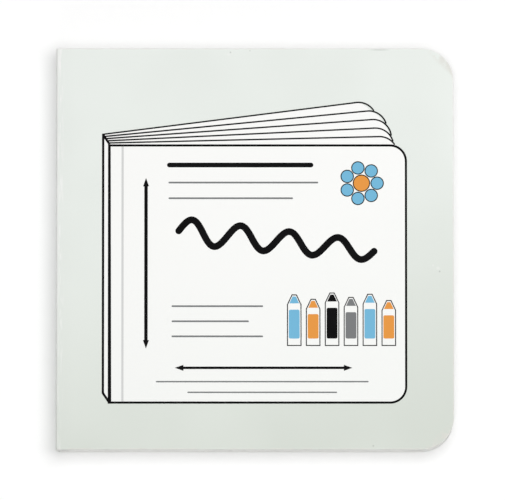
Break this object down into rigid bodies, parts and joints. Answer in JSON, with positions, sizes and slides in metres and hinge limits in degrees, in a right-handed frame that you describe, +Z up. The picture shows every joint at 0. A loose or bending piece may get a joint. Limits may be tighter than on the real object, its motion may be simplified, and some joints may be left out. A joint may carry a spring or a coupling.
{
  "type": "board book",
  "caption": "Square chunky board book with blank pale covers that open flat on a square spine, rounded fore-edge corners, stiff folded pages and a white paper label on the front.",
  "frame": {"origin": "centre of the book's outline, on the surface that its back cover lies on", "axes": "+X from the spine to the fore edge, +Y from tail to head, +Z up through the front cover"},
  "size_m": [0.1262, 0.1278, 0.0131],
  "materials": {
    "cover_board": "satin",
    "page_board": "matte",
    "label_paper": "matte"
  },
  "bodies": {
    "pages": {"page_block": "page_board", "spine_strip": "cover_board"},
    "front_cover": {"front_cover": "cover_board", "front_label": "label_paper"},
    "back_cover": {"back_cover": "cover_board"}
  },
  "joints": [
    {"name": "front_cover_hinge", "type": "hinge", "parent": "pages", "child": "front_cover", "pos_m": [-0.0631, 0, 0.0109], "axis": [0, -1, 0], "range_deg": [0, 180]},
    {"name": "back_cover_hinge", "type": "hinge", "parent": "pages", "child": "back_cover", "pos_m": [-0.0631, 0, 0.0021], "axis": [0, 1, 0], "range_deg": [0, 180]}
  ]
}
